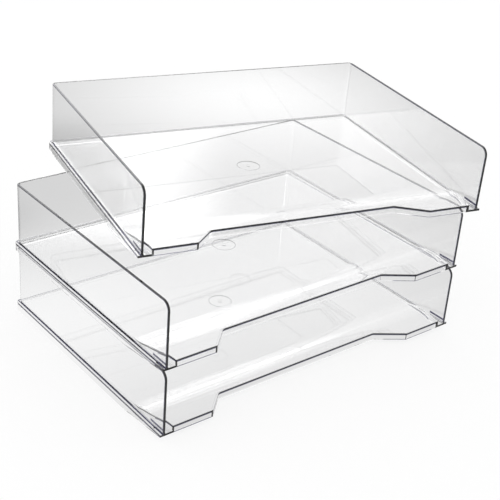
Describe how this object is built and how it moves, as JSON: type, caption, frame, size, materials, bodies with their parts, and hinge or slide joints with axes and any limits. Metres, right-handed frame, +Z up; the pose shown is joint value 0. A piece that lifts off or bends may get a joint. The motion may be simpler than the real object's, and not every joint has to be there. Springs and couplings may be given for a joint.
{
  "type": "tiered letter tray",
  "caption": "Stack of clear side-loading letter trays with a flanged foot, raised front and finger cut-out, the top tray lying askew.",
  "frame": {"origin": "on the desk, under the middle of the stack's box", "axes": "+X to the right along the lower trays' open fronts, -Y out of the fronts, +Z up"},
  "size_m": [0.395, 0.3152, 0.1987],
  "materials": {
    "clear_plastic": "clear polystyrene, polished"
  },
  "bodies": {
    "bottom_tray": {"bottom_tray": "clear_plastic"},
    "middle_tray": {"middle_tray": "clear_plastic"},
    "top_tray": {"top_tray": "clear_plastic"}
  },
  "joints": [
    {"name": "middle_lift", "type": "slide", "parent": "bottom_tray", "child": "middle_tray", "axis": [0, 0, 1], "range_m": [0, 0.1]},
    {"name": "top_lift", "type": "slide", "parent": "middle_tray", "child": "top_tray", "axis": [0, 0, 1], "range_m": [0, 0.1]}
  ]
}
